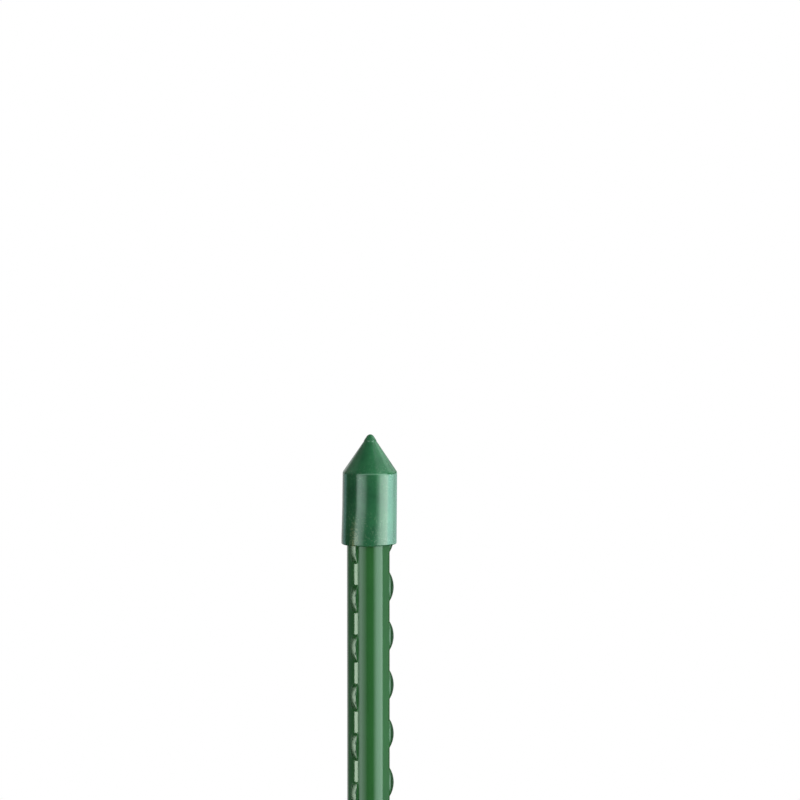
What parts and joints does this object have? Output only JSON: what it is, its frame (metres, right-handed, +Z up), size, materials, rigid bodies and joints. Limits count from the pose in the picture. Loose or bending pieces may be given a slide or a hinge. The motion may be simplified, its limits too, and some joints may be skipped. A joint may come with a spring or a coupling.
{
  "type": "plant stake",
  "caption": "Slim coated garden stake: straight round shaft with rows of small raised nubs that hold plant ties, and a pointed push-on cap on each end.",
  "frame": {"origin": "the lower point of the stake, on its axis", "axes": "+Z up along the shaft, -Y towards the front that the picture shows, +X to its right"},
  "size_m": [0.0142, 0.0142, 0.6],
  "materials": {
    "steel": "cold-rolled, seam-welded",
    "coating_plastic": "glossy, extruded",
    "cap_plastic": "satin, moulded"
  },
  "bodies": {
    "shaft": {"steel_tube": "steel", "plastic_coating": "coating_plastic"},
    "upper_cap": {"top_cap": "cap_plastic"},
    "lower_cap": {"ground_cap": "cap_plastic"}
  },
  "joints": [
    {"name": "top_cap_pull", "type": "slide", "parent": "shaft", "child": "upper_cap", "axis": [0, 0, 1], "range_m": [0, 0.025]},
    {"name": "ground_cap_pull", "type": "slide", "parent": "shaft", "child": "lower_cap", "axis": [0, 0, -1], "range_m": [0, 0.025]}
  ]
}
